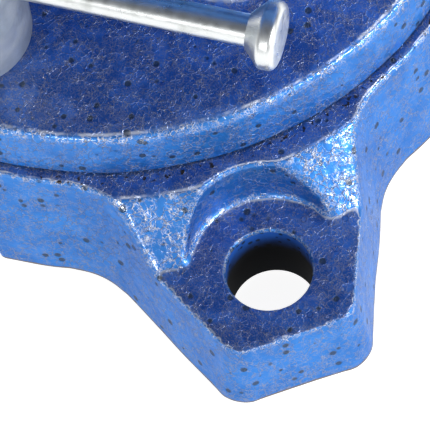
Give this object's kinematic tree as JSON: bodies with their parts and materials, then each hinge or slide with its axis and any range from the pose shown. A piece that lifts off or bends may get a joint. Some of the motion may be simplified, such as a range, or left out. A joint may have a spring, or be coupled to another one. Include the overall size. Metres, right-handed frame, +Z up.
{
  "type": "bench vise",
  "caption": "Cast bench vise on a lockable swivel base with lugs, with a screw-driven sliding jaw, steel jaw plates, a sliding bar handle and a rear anvil.",
  "frame": {"origin": "centre of the base's underside, on the swivel axis, where the vise meets the bench", "axes": "+Z up along the swivel axis, +Y along the main screw towards the anvil, +X to the right as seen from the handle"},
  "size_m": [0.198, 0.249, 0.168],
  "materials": {
    "blue_hammertone": "blue hammertone enamel on cast iron",
    "dull_zinc": "dull blue-grey zinc plate",
    "zinc_plate": "bright zinc plate",
    "bright_steel": "turned steel, lightly oiled",
    "hardened_steel": "ground hardened steel",
    "black_steel": "black oxide",
    "raw_cast_iron": "bare cast iron"
  },
  "bodies": {
    "base": {"swivel_base": "blue_hammertone"},
    "swivel": {"fixed_jaw_body": "blue_hammertone", "fixed_jaw_plate": "hardened_steel", "fixed_jaw_screws": "black_steel", "main_nut": "raw_cast_iron", "nut_screw": "black_steel", "pivot_bolt": "zinc_plate", "pivot_washer": "zinc_plate", "lock_bolt_right": "zinc_plate", "lock_bolt_left": "zinc_plate"},
    "jaw": {"sliding_jaw": "blue_hammertone", "sliding_jaw_plate": "hardened_steel", "sliding_jaw_screws": "black_steel", "spindle_spring": "black_steel"},
    "spindle": {"spindle": "bright_steel", "thrust_washer": "zinc_plate", "retaining_collar": "bright_steel", "collar_pin": "bright_steel"},
    "handle": {"spindle_handle": "zinc_plate", "handle_cap_right": "zinc_plate", "handle_cap_left": "zinc_plate"},
    "lock_right": {"lock_nut_right": "dull_zinc"},
    "lock_right_bar": {"lock_bar_right": "zinc_plate", "lock_bar_caps_right": "zinc_plate"},
    "lock_left": {"lock_nut_left": "dull_zinc"},
    "lock_left_bar": {"lock_bar_left": "zinc_plate", "lock_bar_caps_left": "zinc_plate"}
  },
  "joints": [
    {"name": "base_swivel", "type": "hinge", "parent": "base", "child": "swivel", "pos_m": [0, 0, 0.024], "axis": [0, 0, 1], "continuous": true},
    {"name": "jaw_slide", "type": "slide", "parent": "swivel", "child": "jaw", "axis": [0, -1, 0], "range_m": [-0.01, 0.1]},
    {"name": "spindle_spin", "type": "hinge", "parent": "jaw", "child": "spindle", "pos_m": [0, -0.1, 0.09], "axis": [0, -1, 0], "range_deg": [-720, 7200]},
    {"name": "handle_slide", "type": "slide", "parent": "spindle", "child": "handle", "axis": [1, 0, 0], "range_m": [-0.0695, 0.0695]},
    {"name": "lock_right_turn", "type": "hinge", "parent": "swivel", "child": "lock_right", "pos_m": [0.0453, 0, 0.034], "axis": [0, 0, 1], "range_deg": [-45, 22]},
    {"name": "lock_right_bar_slide", "type": "slide", "parent": "lock_right", "child": "lock_right_bar", "axis": [-0.2487, 0.9686, 0], "range_m": [-0.0375, 0.0305]},
    {"name": "lock_left_turn", "type": "hinge", "parent": "swivel", "child": "lock_left", "pos_m": [-0.0453, 0, 0.034], "axis": [0, 0, 1], "range_deg": [-45, 22]},
    {"name": "lock_left_bar_slide", "type": "slide", "parent": "lock_left", "child": "lock_left_bar", "axis": [0.2487, -0.9686, 0], "range_m": [-0.0375, 0.0305]}
  ],
  "couplings": [
    {"joint": "jaw_slide", "follows": "spindle_spin", "m_per_rad": 0.00079577}
  ]
}
